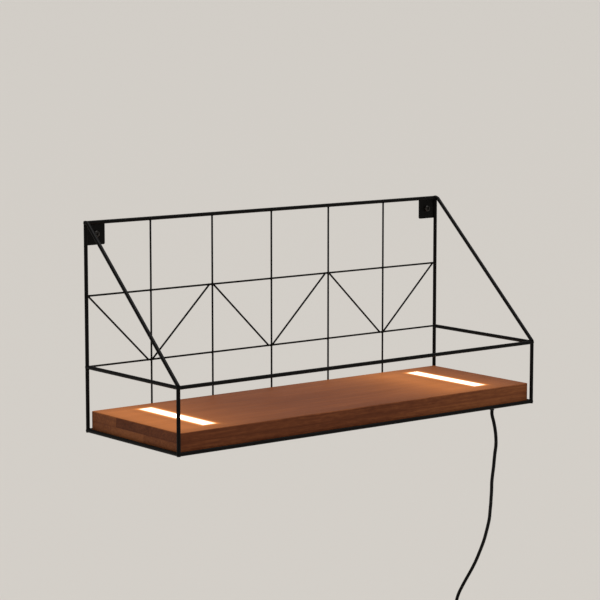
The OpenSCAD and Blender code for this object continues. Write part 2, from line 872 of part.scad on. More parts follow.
module switch_base() {
    color("#1a1a1a")
        at_switch()
            difference() {
                union() {
                    half(false)
                        difference() {
                            union() {
                                switch_block();
                                switch_necks();
                            }
                            extrude_y(-1, switch_t / 2 - shell_t)
                                switch_hollow();
                        }
                    for (p = boss_places)
                        extrude_y(0, switch_t / 2 - shell_t / 2)
                            translate(p)
                                circle(d = boss_d);
                    for (sx = [-1, 1])
                        translate([
                            sx * (rib_x0 + rib_t / 2) - rib_t / 2,
                            pivot_y + pin_d / 2 + bearing_play / 2,
                            -pin_d / 2])
                            cube([
                                rib_t,
                                switch_t / 2 - shell_t / 2 - pivot_y - pin_d / 2 - bearing_play / 2,
                                pin_d]);
                }
                for (p = boss_places) {
                    extrude_y(-1, switch_t)
                        translate(p)
                            circle(d = case_screw_d);
                    extrude_y(switch_t / 2 - case_head_t, switch_t)
                        translate(p)
                            circle(d = case_head_d);
                }
            }
}

// The rocker's two faces meet at a shallow angle, and its ends are round the pivot.
// It is drawn switched on, with its lower face pressed in.
module switch_rocker() {
    rise = rocker_r * tan(rocker_tilt);
    face_y = -switch_t / 2 - 0.2 - pivot_y;
    color("#222222")
        at_switch()
            translate([0, pivot_y, 0])
                rotate([rocker_tilt, 0, 0]) {
                    translate([-rocker_w / 2, 0, 0])
                        rotate([90, 0, 90])
                            linear_extrude(rocker_w)
                                intersection() {
                                    circle(rocker_r);
                                    polygon([
                                        [face_y, 0], [face_y - rise, -rocker_r], [-1, -rocker_r],
                                        [1.5, -6], [4, -2], [4, 2], [1.5, 6], [-1, rocker_r],
                                        [face_y - rise, rocker_r]]);
                                }
                    rod([-rib_x0 - rib_t + rib_play, 0, 0], [rib_x0 + rib_t - rib_play, 0, 0], pin_d);
                }
}

// Two brass terminals stand on the base, one for each half of the cut core
module switch_terminals() {
    color("#c9a24a")
        at_switch()
            for (s = [-1, 1])
                difference() {
                    translate([
                        -terminal[0] / 2,
                        switch_t / 2 - shell_t - terminal[1],
                        s * terminal_z - terminal[2] / 2])
                        cube(terminal);
                    translate([0, terminal_y, s * terminal_z - terminal[2]])
                        cylinder(h = 2 * terminal[2], d = core_d);
                }
}

// One core is cut and ends in the two terminals, and the other passes beside them
module switch_cores() {
    inner_l = switch_l - 2 * shell_t;
    color("#6b4426")
        at_switch()
            for (s = [-1, 1])
                translate([0, terminal_y, s > 0 ? terminal_z : -inner_l / 2])
                    cylinder(h = inner_l / 2 - terminal_z, d = core_d);
    color("#3b6fb0")
        at_switch()
            translate([terminal[0] / 2 + core_d / 2 + 0.3, terminal_y - core_d, -inner_l / 2])
                cylinder(h = inner_l, d = core_d);
}

module switch_screws() {
    color("#8a8a8a")
        at_switch()
            for (p = boss_places)
                translate([p[0], switch_t / 2, p[1]])
                    rotate([90, 0, 0])
                        flat_screw(case_screw_d, case_screw_len, case_head_d, case_head_t);
}

// ---- The plug: a flat two-pin body, pins down ----

pin_root_d = 3;
pin_root_l = 10;

module at_plug() {
    translate([switch_x, plug_y, plug_top_z])
        children();
}

module plug_body() {
    neck = 14;
    neck_d = 9;
    shoulder = 12;
    body_l = plug_l - neck;
    side = [
        [-plug_w / 2, -plug_l], [-plug_w / 2, -neck - shoulder], [-neck_d / 2, -neck + 1],
        [neck_d / 2, -neck + 1], [plug_w / 2, -neck - shoulder], [plug_w / 2, -plug_l]];
    flank = [
        [-plug_t / 2, -plug_l], [-plug_t / 2, -neck - shoulder], [-neck_d / 2, -neck + 1],
        [neck_d / 2, -neck + 1], [plug_t / 2, -neck - shoulder], [plug_t / 2, -plug_l]];
    color("#181818")
        at_plug()
            difference() {
                union() {
                    intersection() {
                        extrude_y(-plug_t, plug_t)
                            polygon(side);
                        translate([-plug_w, 0, 0])
                            rotate([90, 0, 90])
                                linear_extrude(2 * plug_w)
                                    polygon(flank);
                        translate([0, 0, -plug_l])
                            linear_extrude(body_l + 1)
                                round_rect([plug_w, plug_t], plug_t / 2 - 0.1);
                    }
                    translate([0, 0, -neck - 4])
                        cylinder(h = neck + 4, d1 = neck_d, d2 = lead_d + 1.6);
                }
                for (sx = [-1, 1])
                    translate([sx * pin_pitch / 2, 0, -plug_l - 1])
                        cylinder(h = 1 + pin_root_l, d = pin_root_d);
            }
}

module plug_pins() {
    color("#d8d8d4")
        at_plug()
            for (sx = [-1, 1])
                translate([sx * pin_pitch / 2, 0, -plug_l - plug_pin_l]) {
                    translate([0, 0, plug_pin_d / 2]) {
                        sphere(d = plug_pin_d);
                        cylinder(h = plug_pin_l - plug_pin_d / 2, d = plug_pin_d);
                    }
                    cylinder(h = plug_pin_l + pin_root_l, d = pin_root_d);
                }
}

// ---- What each node draws ----

color("#151515") long_rail(back_y, top_z);  // back_top_rail
color("#151515") long_rail(back_y, bottom_z);  // back_bottom_rail
color("#151515") back_post(-1);  // back_post_left
color("#151515") back_post(1);  // back_post_right
color("#151515") front_post(-1);  // front_post_left
color("#151515") front_post(1);  // front_post_right
color("#151515") long_rail(front_y, guard_z);  // guard_rail_front
color("#151515") side_rail(-1, guard_z);  // guard_rail_left
color("#151515") side_rail(1, guard_z);  // guard_rail_right
color("#151515") long_rail(front_y, bottom_z);  // bottom_rail_front
color("#151515") side_rail(-1, bottom_z);  // bottom_rail_left
color("#151515") side_rail(1, bottom_z);  // bottom_rail_right
color("#151515") brace(-1);  // brace_left
color("#151515") brace(1);  // brace_right
color("#151515") grid_upright(1);  // grid_upright_1
color("#151515") grid_upright(2);  // grid_upright_2
color("#151515") grid_upright(3);  // grid_upright_3
color("#151515") grid_upright(4);  // grid_upright_4
color("#151515") grid_upright(5);  // grid_upright_5
color("#151515") grid_wire(upper_z);  // grid_wire_upper
color("#151515") grid_wire(lower_z);  // grid_wire_lower
color("#151515") zigzag_wire(1);  // zigzag_wire_1
color("#151515") zigzag_wire(2);  // zigzag_wire_2
color("#151515") zigzag_wire(3);  // zigzag_wire_3
color("#151515") zigzag_wire(4);  // zigzag_wire_4
color("#151515") zigzag_wire(5);  // zigzag_wire_5
color("#151515") zigzag_wire(6);  // zigzag_wire_6
color("#151515") wall_tab(-1);  // wall_tab_left
color("#151515") wall_tab(1);  // wall_tab_right
color("#151515") board_strap(-1);  // board_strap_left
color("#151515") board_strap(1);  // board_strap_right
shelf_board();
lens(-1);  // lens_left
lens(1);  // lens_right
led_board(-1);  // led_board_left
led_board(1);  // led_board_right
leds(-1);  // leds_left
leds(1);  // leds_right
led_driver();
led_wires(-1);  // led_wires_left
led_wires(1);  // led_wires_right
mains_cores();
bottom_cover();
strap_screws();
cover_screws();
strain_relief();
lead();
lead_coil();
coil_tie();
switch_base();
switch_cover();
switch_rocker();
switch_terminals();
switch_cores();
switch_screws();
plug_body();
plug_pins();
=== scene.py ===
# %% [markdown]
# # A wall lamp with a shelf
#
# The lamp is a welded wire frame with a wooden board in it, and two slots of light are
# let into the board's top. The CAD model gives every piece its real size and place, so
# this lesson only dresses it: each surface gets its finish, the cord gets its true
# round shape, and small things such as screw heads and weld beads are added.
# The CAD pieces are fixed. Everything that is added is measured from them.

# %% Load the frame
import math

import bmesh
import bpy
from mathutils import Matrix, Vector


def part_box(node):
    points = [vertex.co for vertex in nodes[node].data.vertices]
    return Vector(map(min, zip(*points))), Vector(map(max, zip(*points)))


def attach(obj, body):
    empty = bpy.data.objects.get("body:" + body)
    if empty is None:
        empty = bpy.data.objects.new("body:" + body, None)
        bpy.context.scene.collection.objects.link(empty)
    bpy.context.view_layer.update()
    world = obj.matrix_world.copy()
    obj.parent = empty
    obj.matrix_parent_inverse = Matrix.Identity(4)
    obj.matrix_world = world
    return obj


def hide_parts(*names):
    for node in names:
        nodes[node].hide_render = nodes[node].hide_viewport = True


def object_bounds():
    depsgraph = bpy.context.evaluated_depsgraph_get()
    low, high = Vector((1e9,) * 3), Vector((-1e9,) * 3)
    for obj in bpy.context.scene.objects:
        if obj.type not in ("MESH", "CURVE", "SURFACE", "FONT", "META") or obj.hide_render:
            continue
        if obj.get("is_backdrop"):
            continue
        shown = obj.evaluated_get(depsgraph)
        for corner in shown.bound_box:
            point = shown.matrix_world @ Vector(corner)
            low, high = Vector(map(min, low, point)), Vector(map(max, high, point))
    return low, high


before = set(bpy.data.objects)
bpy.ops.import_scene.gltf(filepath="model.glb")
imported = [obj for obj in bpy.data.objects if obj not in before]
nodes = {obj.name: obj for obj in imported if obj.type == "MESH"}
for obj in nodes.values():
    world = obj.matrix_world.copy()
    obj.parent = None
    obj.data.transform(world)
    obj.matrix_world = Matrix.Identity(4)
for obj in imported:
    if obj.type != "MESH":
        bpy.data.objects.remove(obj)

MM = 0.001
LAMP = "lamp"
cad_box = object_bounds()
print(f"{len(nodes)} CAD nodes, box {[round(x, 4) for x in cad_box[1] - cad_box[0]]} m")

# %% [markdown]
# ## The camera
#
# A photograph fixes its camera: the lines that run back to the wall say where it stood,
# and the size of the frame in the picture says how long its lens was. The place and the
# target below come from that sum. A long lens far away keeps the lines nearly parallel.

# %% Camera
camera_place = Vector((-1.88765, -2.44692, 0.30372))
camera_target = Vector((-0.04018, -0.11682, -0.09312))
camera_lens_mm = 137.66
camera = bpy.data.objects.new("camera", bpy.data.cameras.new("camera"))
camera.data.lens = camera_lens_mm
camera.data.sensor_width = 36
camera.location = camera_place
camera.rotation_euler = (camera_target - camera_place).to_track_quat("-Z", "Y").to_euler()
bpy.context.collection.objects.link(camera)
bpy.context.scene.camera = camera
print(f"camera {(camera_target - camera_place).length:.2f} m from its target")

# %% [markdown]
# ## Where the CAD pieces are
#
# Added pieces sit on CAD pieces, so their places are read from the CAD boxes. The
# middle of a rod's box is its centreline, and half its thickness is its radius.

# %% Places read from the CAD model
def middle(node):
    low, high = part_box(node)
    return (low + high) / 2


def size(node):
    low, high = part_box(node)
    return high - low


post_x = middle("back_post_right").x
back_y = middle("back_post_right").y
front_y = middle("front_post_right").y
top_z = middle("back_top_rail").z
guard_z = middle("guard_rail_front").z
bottom_z = middle("back_bottom_rail").z
upper_z = middle("grid_wire_upper").z
upright_y = middle("grid_upright_1").y
level_y = middle("grid_wire_upper").y
rod_r = size("back_post_right").x / 2
wire_r = size("grid_upright_1").x / 2
print(f"rods {2 * rod_r / MM:.1f} mm and wires {2 * wire_r / MM:.1f} mm thick")

# %% [markdown]
# ## The cord
#
# The mains lead is a round PVC cord of 4.8 mm. It is stiff enough to keep a lazy curve:
# it leaves the strain relief under the board, swings back to the wall and drops to its
# switch. What is left over is wound into a coil of seven turns in two layers. A curve
# with a round bevel is the right tool, because a cord is a thickness along a line. Its
# points are the CAD route's, and the coil's points come from a formula.

# %% The cord's routes
lead_d = 4.8 * MM
relief_end = Vector((271, -153.5, -269)) * MM
lead_points = [
    (0, 0, 0), (0, 0, -6), (3, -0.5, -17), (6, -0.5, -29), (9, 1, -40.5), (12, 4, -52.5),
    (14.5, 8.5, -64.5), (17.5, 13, -76), (20.5, 17.5, -88), (24, 23, -100),
    (28, 28.5, -111.5), (32.5, 33.5, -123.5), (37, 39, -135.5), (41.5, 44.5, -147),
    (46, 50.5, -159), (50.5, 56.5, -171), (54.5, 63.5, -183), (58, 70.5, -194.5),
    (61, 77.5, -206.5), (63.5, 85, -218.5), (65.5, 92.5, -230), (67, 100, -242),
    (67.5, 107.5, -254), (67.5, 115, -265.5), (66.5, 122.5, -277.5), (65.5, 129.5, -289.5),
    (64.5, 135.5, -301), (64, 139.5, -313), (64, 141, -322), (64, 141, -331)]
lead_path = [relief_end + Vector(p) * MM for p in lead_points]

turn_gap = 0.45 * MM
coil_pitch = lead_d + turn_gap
coil_half_turns = 3.5
crossing_turns = 0.5
coil_mean_r = 28.8 * MM
coil_out_r = coil_mean_r + coil_pitch * coil_half_turns / 2
coil_start = Vector((335, -12.5, -660)) * MM
coil_drop = 38 * MM
coil_middle = coil_start + Vector((-coil_out_r, 0, -coil_drop))


def coil_point(turn):
    """A point of the coil, which spirals in for half its turns and out again behind."""
    inwards = min(turn, 2 * coil_half_turns - turn)
    radius = coil_out_r - coil_pitch * inwards
    climb = min(1, max(0, (turn - coil_half_turns) / crossing_turns + 0.5))
    depth = coil_pitch * climb * climb * (3 - 2 * climb)
    angle = 2 * math.pi * turn
    return coil_middle + Vector((radius * math.cos(angle), depth, -radius * math.sin(angle)))


points_per_turn = 16
coil_steps = int(2 * coil_half_turns * points_per_turn)
coil_end = coil_point(2 * coil_half_turns)
plug_top = coil_end - Vector((0, 0, coil_drop))
coil_path = [coil_start, coil_start - Vector((0, 0, coil_drop / 2))]
coil_path += [coil_point(i / points_per_turn) for i in range(coil_steps + 1)]
coil_path += [(coil_end + plug_top) / 2, plug_top]


def length_of(path):
    return sum((b - a).length for a, b in zip(path, path[1:]))


print(f"lead {length_of(lead_path):.3f} m, coil {length_of(coil_path):.3f} m")


# %% The cord's curves
def cord_curve(name, path, diameter):
    """A smooth round curve through the points, with closed ends."""
    curve = bpy.data.curves.new(name, "CURVE")
    curve.dimensions = "3D"
    curve.bevel_depth = diameter / 2
    curve.bevel_resolution = 5
    curve.resolution_u = 4
    curve.use_fill_caps = True
    spline = curve.splines.new("BEZIER")
    spline.bezier_points.add(len(path) - 1)
    for point, place in zip(spline.bezier_points, path):
        point.co = place
        point.handle_left_type = point.handle_right_type = "AUTO"
    piece = bpy.data.objects.new(name, curve)
    bpy.context.collection.objects.link(piece)
    return piece


lead_cord = cord_curve("lead_cord", lead_path, lead_d)
coil_cord = cord_curve("coil_cord", coil_path, lead_d)

# %% [markdown]
# ## How a finish is made
#
# Each finish is one material. Its colours are written as sRGB hex values, the way a
# paint chart gives them, and one function turns them into the linear numbers that
# shaders use. One small function adds a node, with its settings and its links.
# Patterns are measured in millimetres from the Object coordinates, so a grain of 0.8 mm
# is 0.8 mm wide on every piece.

# %% Colour and node helpers
def linear(hex_colour):
    """Turns an sRGB hex colour into linear RGBA."""
    channels = [int(hex_colour[i:i + 2], 16) / 255 for i in (1, 3, 5)]
    return [c / 12.92 if c <= 0.04045 else ((c + 0.055) / 1.055) ** 2.4 for c in channels] + [1]


def feed(tree, node, sockets):
    """Gives each socket a value, or links it to another node's output."""
    for key, value in sockets.items():
        if isinstance(value, bpy.types.NodeSocket):
            tree.links.new(value, node.inputs[key])
        else:
            node.inputs[key].default_value = value


def add(tree, kind, sockets, **settings):
    """Adds a node and returns its first output that is in use."""
    node = tree.nodes.new("ShaderNode" + kind)
    for name, value in settings.items():
        setattr(node, name, value)
    feed(tree, node, sockets)
    return next(output for output in node.outputs if output.enabled)


def start_material(name):
    """A new material, its node tree and its Principled shader."""
    material = bpy.data.materials.new(name)
    material.use_nodes = True
    tree = material.node_tree
    return material, tree, tree.nodes["Principled BSDF"]


def place_in_mm(tree, stretch=(1, 1, 1)):
    """Object coordinates in millimetres, drawn out by the stretch along each axis."""
    coordinates = tree.nodes.new("ShaderNodeTexCoord").outputs["Object"]
    scale = [1 / (MM * s) for s in stretch]
    return add(tree, "VectorMath", {0: coordinates, 1: scale}, operation="MULTIPLY")


def ramp(tree, factor, stops):
    """A colour ramp from (position, hex colour) stops."""
    node = tree.nodes.new("ShaderNodeValToRGB")
    elements = node.color_ramp.elements
    while len(elements) < len(stops):
        elements.new(0.5)
    for element, (position, colour) in zip(elements, stops):
        element.position = position
        element.color = linear(colour)
    tree.links.new(factor, node.inputs[0])
    return node.outputs[0]


# %% [markdown]
# ## Painted steel
#
# The frame is powder-coated steel: black polyester powder, baked on until it flows. It
# looks satin, with a faint orange peel. A noise of about a millimetre gives the peel to
# the bump and the roughness, and a broader noise keeps long rods from looking uniform.

# %% A finish for painted, moulded and rubber pieces
def speckled(name, dark, light, grain_mm, rough, bump_mm, **fixed):
    """A finish of one colour with a fine grain in its colour, gloss and relief."""
    material, tree, shader = start_material(name)
    place = place_in_mm(tree)
    fine = add(tree, "TexNoise", {"Vector": place, "Scale": 1 / grain_mm, "Detail": 3.0})
    broad = add(tree, "TexNoise", {"Vector": place, "Scale": 1 / (30 * grain_mm), "Detail": 2.0})
    both = add(tree, "Math", {0: fine, 1: broad}, operation="ADD")
    half = add(tree, "Math", {0: both, 1: 0.5}, operation="MULTIPLY")
    colour = ramp(tree, half, [(0.35, dark), (0.65, light)])
    gloss = add(tree, "MapRange", {0: half, 1: 0.35, 2: 0.65, 3: rough - 0.05, 4: rough + 0.07})
    relief = add(tree, "Bump", {"Height": fine, "Distance": bump_mm * MM, "Strength": 0.5})
    feed(tree, shader, {"Base Color": colour, "Roughness": gloss, "Normal": relief, **fixed})
    return material


powder_coat = speckled("powder_coat_black", "#070606", "#0e0c0b", 1.1, 0.45, 0.06,
                       **{"Specular IOR Level": 0.1})
print(f"powder coat: {len(powder_coat.node_tree.nodes)} shader nodes")

# %% [markdown]
# ## The lit slots
#
# Two materials need to know how far a point lies from the edge of a slot: the lens
# glows less at its edge, and the wood round it catches some of the light. The slot is a
# rectangle, so the distance is worked out from how far the point lies past its sides
# and past its ends. Both slots are the same, so the absolute value of x serves for both.

# %% Distance from a slot's edge
lens_low, lens_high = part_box("lens_right")
slot_x = (lens_low.x + lens_high.x) / 2 / MM
slot_y = (lens_low.y + lens_high.y) / 2 / MM
slot_half_w = (lens_high.x - lens_low.x) / 2 / MM
slot_half_l = (lens_high.y - lens_low.y) / 2 / MM


def past_slot_edges(tree, x, y):
    """How far a point lies past the slot's sides and past its ends, less than zero inside."""
    x = add(tree, "Math", {0: x}, operation="ABSOLUTE")
    past = []
    for along, centre, half in ((x, slot_x, slot_half_w), (y, slot_y, slot_half_l)):
        off = add(tree, "Math", {0: along, 1: centre}, operation="SUBTRACT")
        off = add(tree, "Math", {0: off}, operation="ABSOLUTE")
        past.append(add(tree, "Math", {0: off, 1: half}, operation="SUBTRACT"))
    return past


def fading(tree, distance, reach):
    """A glow that is one at no distance and falls off with the reach in millimetres."""
    steps = add(tree, "Math", {0: distance, 1: -1 / reach}, operation="MULTIPLY")
    return add(tree, "Math", {0: steps}, operation="EXPONENT")


print(f"slots at x {slot_x:.1f} mm, {2 * slot_half_w:.1f} by {2 * slot_half_l:.1f} mm")

# %% [markdown]
# ## The board's wood
#
# The board is solid wood, oiled a warm red-brown. It is glued up from staves in two
# layers: the left end shows the seam at mid height, and each stave has its own tone.
# A picture of wood would slide over the corners, so the grain is a solid pattern
# instead: noise that is drawn out along X, so that the long faces show stripes and the
# ends show speckle by themselves. Every stave reads it at a place of its own.

# %% Staves
board_low, board_high = (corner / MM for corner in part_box("shelf_board"))
stave_w = 72.5
upper_seam_y = -62.0
lower_seam_y = -50.5
seam_z = (board_low.z + board_high.z) / 2
stave_pick = 1734.0                 # another number deals out other tones
stave_spread = (900, 70, 70)        # how far apart the staves read the grain, in mm
print(f"staves {stave_w} mm wide, seam between the layers at z {seam_z:.1f} mm")


def make_staves(tree, place, y, z):
    """Gives every stave a tone of its own, and its own place in the grain."""
    low_layer = add(tree, "Math", {0: z, 1: seam_z}, operation="LESS_THAN")
    first_seam = add(tree, "Math", {0: low_layer, 1: lower_seam_y - upper_seam_y, 2: upper_seam_y},
                     operation="MULTIPLY_ADD")
    across = add(tree, "Math", {0: y, 1: first_seam}, operation="SUBTRACT")
    count = add(tree, "Math", {0: across, 1: stave_w}, operation="DIVIDE")
    stave = add(tree, "Math", {0: count}, operation="FLOOR")
    chance = tree.nodes.new("ShaderNodeTexWhiteNoise")
    feed(tree, chance, {"Vector": add(tree, "CombineXYZ", {0: stave, 1: low_layer, 2: stave_pick})})
    tone, anywhere = chance.outputs
    moved = add(tree, "VectorMath", {0: anywhere, 1: stave_spread, 2: place}, operation="MULTIPLY_ADD")
    return tone, moved


def grain(tree, moved, long, across, detail, rough):
    """Noise with grains so long along the board and so wide across it, in millimetres."""
    drawn_out = add(tree, "VectorMath", {0: moved, 1: (1 / long, 1 / across, 1 / across)},
                    operation="MULTIPLY")
    return add(tree, "TexNoise", {
        "Vector": drawn_out, "Scale": 1.0, "Detail": detail, "Roughness": rough})


# %% [markdown]
# ## Light on the wood
#
# Near the slots the wood's top is painted with light: a thin orange rim of painted glow,
# and round it a soft warm halo of painted light. The halo reaches further to the left of
# each slot, a painted reflection of the lit wall in the oiled top. A lamp in the scene
# would wash over the whole shelf, so the painted glow is an emission of the top face.

# %% Glow of the slots
# Painted light: the rim's glow, and a halo shifted left as a painted reflection of the lit wall
rim_glow_reach, rim_glow_strength = 2.4, 0.9
halo_reach, halo_strength, painted_reflection_shift = 60.0, 0.31, 42.0


def slot_glow(tree, x, y, reach):
    """A painted glow that is one on the nearer slot and fades round it."""
    sides = [add(tree, "Math", {0: past, 1: 0.0}, operation="MAXIMUM")
             for past in past_slot_edges(tree, x, y)]
    corner = add(tree, "CombineXYZ", {0: sides[0], 1: sides[1], 2: 0.0})
    away = add(tree, "VectorMath", {0: corner, 1: (0, 0, 0)}, operation="DISTANCE")
    return fading(tree, away, reach)


print(f"the rim fades over {rim_glow_reach} mm and the halo over {halo_reach} mm")

# %% [markdown]
# ## The oiled board
#
# Five patterns are added up: fine lines, the shorter flecks of the front edge, a broad
# figure, faint growth rings and the staves' tones. The top is planed and sanded, so its
# flecks hardly show. The staves differ the most on the ends, where each shows its end
# grain, and the front face is drawn lighter towards its right end. Pores are dark and sunk,
# which the bump shows in a raking light. Real pores are a few tenths of a millimetre wide,
# too fine for the render, so they are drawn 0.8 mm wide.

# %% Strength of the wood's patterns
skin = 0.4                          # a point this close to a face, in mm, lies on it
lines_gain, figure_gain, rings_gain = 0.6, 0.26, 0.05
flecks_beside, flecks_on_top = 0.46, 0.12
tones_beside, tones_on_end = 0.06, 0.44
pores_gain, seam_gain = -0.08, -0.30
end_lift = 0.15
pale_from, pale_to, pale_lift = 20.0, 220.0, 0.2
ring_mm = 6.0
wave_period = 0.314                 # how far apart a Wave node's bands lie at a scale of 1
seam_reach = 0.9


# %% Wood
def make_wood():
    material, tree, shader = start_material("oiled_solid_wood")
    place = place_in_mm(tree)
    axes = tree.nodes.new("ShaderNodeSeparateXYZ")
    feed(tree, axes, {0: place})
    x, y, z = axes.outputs
    tone, moved = make_staves(tree, place, y, z)

    # Where the surface is: on the top, on the front or on an end
    far_x = add(tree, "Math", {0: x}, operation="ABSOLUTE")
    on_top = add(tree, "Math", {0: z, 1: board_high.z - skin}, operation="GREATER_THAN")
    on_front = add(tree, "Math", {0: y, 1: board_low.y + skin}, operation="LESS_THAN")
    on_end = add(tree, "Math", {0: far_x, 1: board_high.x - skin}, operation="GREATER_THAN")
    fleck_gain = add(tree, "Math", {0: on_top, 1: flecks_on_top - flecks_beside, 2: flecks_beside},
                     operation="MULTIPLY_ADD")
    tone_gain = add(tree, "Math", {0: on_end, 1: tones_on_end - tones_beside, 2: tones_beside},
                    operation="MULTIPLY_ADD")

    lines = grain(tree, moved, 70, 1.6, 4.0, 0.65)
    flecks = grain(tree, moved, 14, 3.4, 3.0, 0.6)
    figure = grain(tree, moved, 160, 24, 2.0, 0.5)
    pores = grain(tree, moved, 7, 0.8, 2.0, 0.5)
    drawn_out = add(tree, "VectorMath", {0: moved, 1: (1 / 16, 1, 1)}, operation="MULTIPLY")
    rings = add(tree, "TexWave", {
        "Vector": drawn_out, "Scale": wave_period / ring_mm, "Distortion": 9.0,
        "Detail": 3.0, "Detail Scale": 1.2}, wave_type="RINGS", rings_direction="X")

    # Half is the wood's mean colour, and every pattern goes above and below it
    mixed = add(tree, "Math", {0: on_end, 1: end_lift, 2: 0.5}, operation="MULTIPLY_ADD")
    # The front face grows lighter towards its right end
    paler = add(tree, "MapRange", {0: x, 1: pale_from, 2: pale_to, 3: 0.0, 4: pale_lift})
    mixed = add(tree, "Math", {0: paler, 1: on_front, 2: mixed}, operation="MULTIPLY_ADD")
    for pattern, gain in ((lines, lines_gain), (flecks, fleck_gain), (figure, figure_gain),
                          (rings, rings_gain), (tone, tone_gain)):
        centred = add(tree, "Math", {0: pattern, 1: 0.5}, operation="SUBTRACT")
        mixed = add(tree, "Math", {0: centred, 1: gain, 2: mixed}, operation="MULTIPLY_ADD")
    pore = add(tree, "MapRange", {0: pores, 1: 0.62, 2: 0.72, 3: 0.0, 4: 1.0})
    off_seam = add(tree, "Math", {0: z, 1: seam_z}, operation="SUBTRACT")
    off_seam = add(tree, "Math", {0: off_seam}, operation="ABSOLUTE")
    seam = fading(tree, off_seam, seam_reach)
    seam = add(tree, "Math", {0: seam, 1: flecks}, operation="MULTIPLY")
    for dark, gain in ((pore, pores_gain), (seam, seam_gain)):
        mixed = add(tree, "Math", {0: dark, 1: gain, 2: mixed}, operation="MULTIPLY_ADD")
    colour = ramp(tree, mixed, [(0.1, "#4b210e"), (0.5, "#7d4427"), (0.9, "#b06b3f")])

    # The painted glow of the slots and the painted reflection, on the top only
    shifted = add(tree, "Math", {0: x, 1: painted_reflection_shift}, operation="ADD")
    halo = slot_glow(tree, shifted, y, halo_reach)
    rim = slot_glow(tree, x, y, rim_glow_reach)
    glow = add(tree, "Math", {0: halo, 1: halo_strength}, operation="MULTIPLY")
    glow = add(tree, "Math", {0: rim, 1: rim_glow_strength, 2: glow}, operation="MULTIPLY_ADD")
    glow = add(tree, "Math", {0: glow, 1: on_top}, operation="MULTIPLY")

    gloss = add(tree, "MapRange", {0: lines, 1: 0.3, 2: 0.7, 3: 0.46, 4: 0.58})
    hollow = add(tree, "Math", {0: pore, 1: -1.0, 2: lines}, operation="MULTIPLY_ADD")
    relief = add(tree, "Bump", {"Height": hollow, "Distance": 0.1 * MM, "Strength": 0.5})
    feed(tree, shader, {
        "Base Color": colour, "Roughness": gloss, "Normal": relief, "Specular IOR Level": 0.12,
        "Emission Color": linear("#ff9c48"), "Emission Strength": glow})
    return material


wood = make_wood()
print(f"oiled wood: {len(wood.node_tree.nodes)} shader nodes")

# %% [markdown]
# ## The lit lenses
#
# Opal acrylic is a milky plastic: it spreads the light of the diodes under it, so the
# whole strip looks evenly bright. Over the last few millimetres, where it lies on the
# wooden ledge, it dims and turns warm, and there its colour is painted darker and warmer:
# painted shade of the ledge and painted warm light from the wood. The glow is the
# material's own emission. It rises with the cube of the depth from the edge, so the edge
# itself never glares.

# %% Opal acrylic
lens_edge, lens_rise = 0.8, 16.0


def make_opal():
    material, tree, shader = start_material("opal_acrylic_lit")
    place = place_in_mm(tree)
    axes = tree.nodes.new("ShaderNodeSeparateXYZ")
    feed(tree, axes, {0: place})
    x, y, _ = axes.outputs
    past_side, past_end = past_slot_edges(tree, x, y)
    nearest = add(tree, "Math", {0: past_side, 1: past_end}, operation="MAXIMUM")
    inwards = add(tree, "MapRange", {0: nearest, 1: 0.0, 2: -slot_half_w, 3: 0.0, 4: 1.0})
    rise = add(tree, "Math", {0: inwards, 1: 3.0}, operation="POWER")
    strength = add(tree, "Math", {0: rise, 1: lens_rise, 2: lens_edge}, operation="MULTIPLY_ADD")
    light = ramp(tree, inwards, [(0.0, "#ffb066"), (0.12, "#ffdcae"), (0.5, "#fff0d8")])
    # The colour is painted darker and warmer at the edge: painted shade of the ledge and painted warm
    # light from the wood
    colour = ramp(tree, inwards, [(0.0, "#c98f56"), (0.1, "#f0d0a0"), (0.2, "#fff2dd")])
    feed(tree, shader, {
        "Base Color": colour, "Roughness": 0.3, "IOR": 1.49,
        "Emission Color": light, "Emission Strength": strength})
    return material


opal = make_opal()
print(f"opal acrylic: {len(opal.node_tree.nodes)} shader nodes")

# %% [markdown]
# ## Plastics, rubber and metals
#
# The lead's sheath is extruded PVC and the plug is moulded PVC, and both look matt
# black. The strain relief and the coil's tie are rubber, which is duller still. The
# switch's shells are nylon from a spark-eroded mould, so they have a fine grain, and its
# rocker is polished ABS, which mirrors a little. The cover under the board is a sheet of
# ABS. Such grain is too fine for the render, so it is drawn 0.5 to 2 mm wide.
#
# Inside, the driver's case is pale ABS, the circuit boards wear a glossy white solder
# mask, the diodes are dots of yellow phosphor and the cores have brown PVC sleeves. The
# screws are steel, plated with black or bright zinc. The terminals are plain brass, and
# the plug's pins are nickel-plated brass, the clearest mirror of them all.

# %% The other finishes
pvc_sheath = speckled("pvc_cord_sheath", "#070606", "#0d0c0c", 0.9, 0.55, 0.05,
                      **{"Specular IOR Level": 0.12})
pvc_plug = speckled("pvc_moulded_plug", "#101010", "#1b1b1a", 0.8, 0.48, 0.05)
rubber = speckled("rubber_strain_relief", "#0c0c0c", "#161615", 0.7, 0.6, 0.06)
nylon = speckled("nylon_switch_shell", "#131313", "#1f1e1d", 0.6, 0.45, 0.06)
polished_abs = speckled("abs_polished_rocker", "#161616", "#1e1e1e", 1.5, 0.2, 0.01)
abs_cover = speckled("abs_sheet_cover", "#151514", "#201f1e", 1.0, 0.5, 0.08)
abs_driver = speckled("abs_driver_case", "#c9c8c2", "#dddcd6", 1.2, 0.45, 0.05)
solder_mask = speckled("solder_mask_white", "#dcd9cf", "#ece9e1", 2.0, 0.35, 0.02)
phosphor = speckled("diode_phosphor", "#e0bd5c", "#f2d98a", 0.5, 0.4, 0.02)
sleeve = speckled("pvc_core_sleeve", "#43301f", "#5a412c", 0.8, 0.4, 0.03)
black_zinc = speckled("steel_screw_black", "#2a2826", "#3a3735", 0.8, 0.3, 0.04, Metallic=0.7)
bright_zinc = speckled("steel_screw_zinc", "#8d8f92", "#b4b6b8", 0.8, 0.3, 0.04, Metallic=1.0)
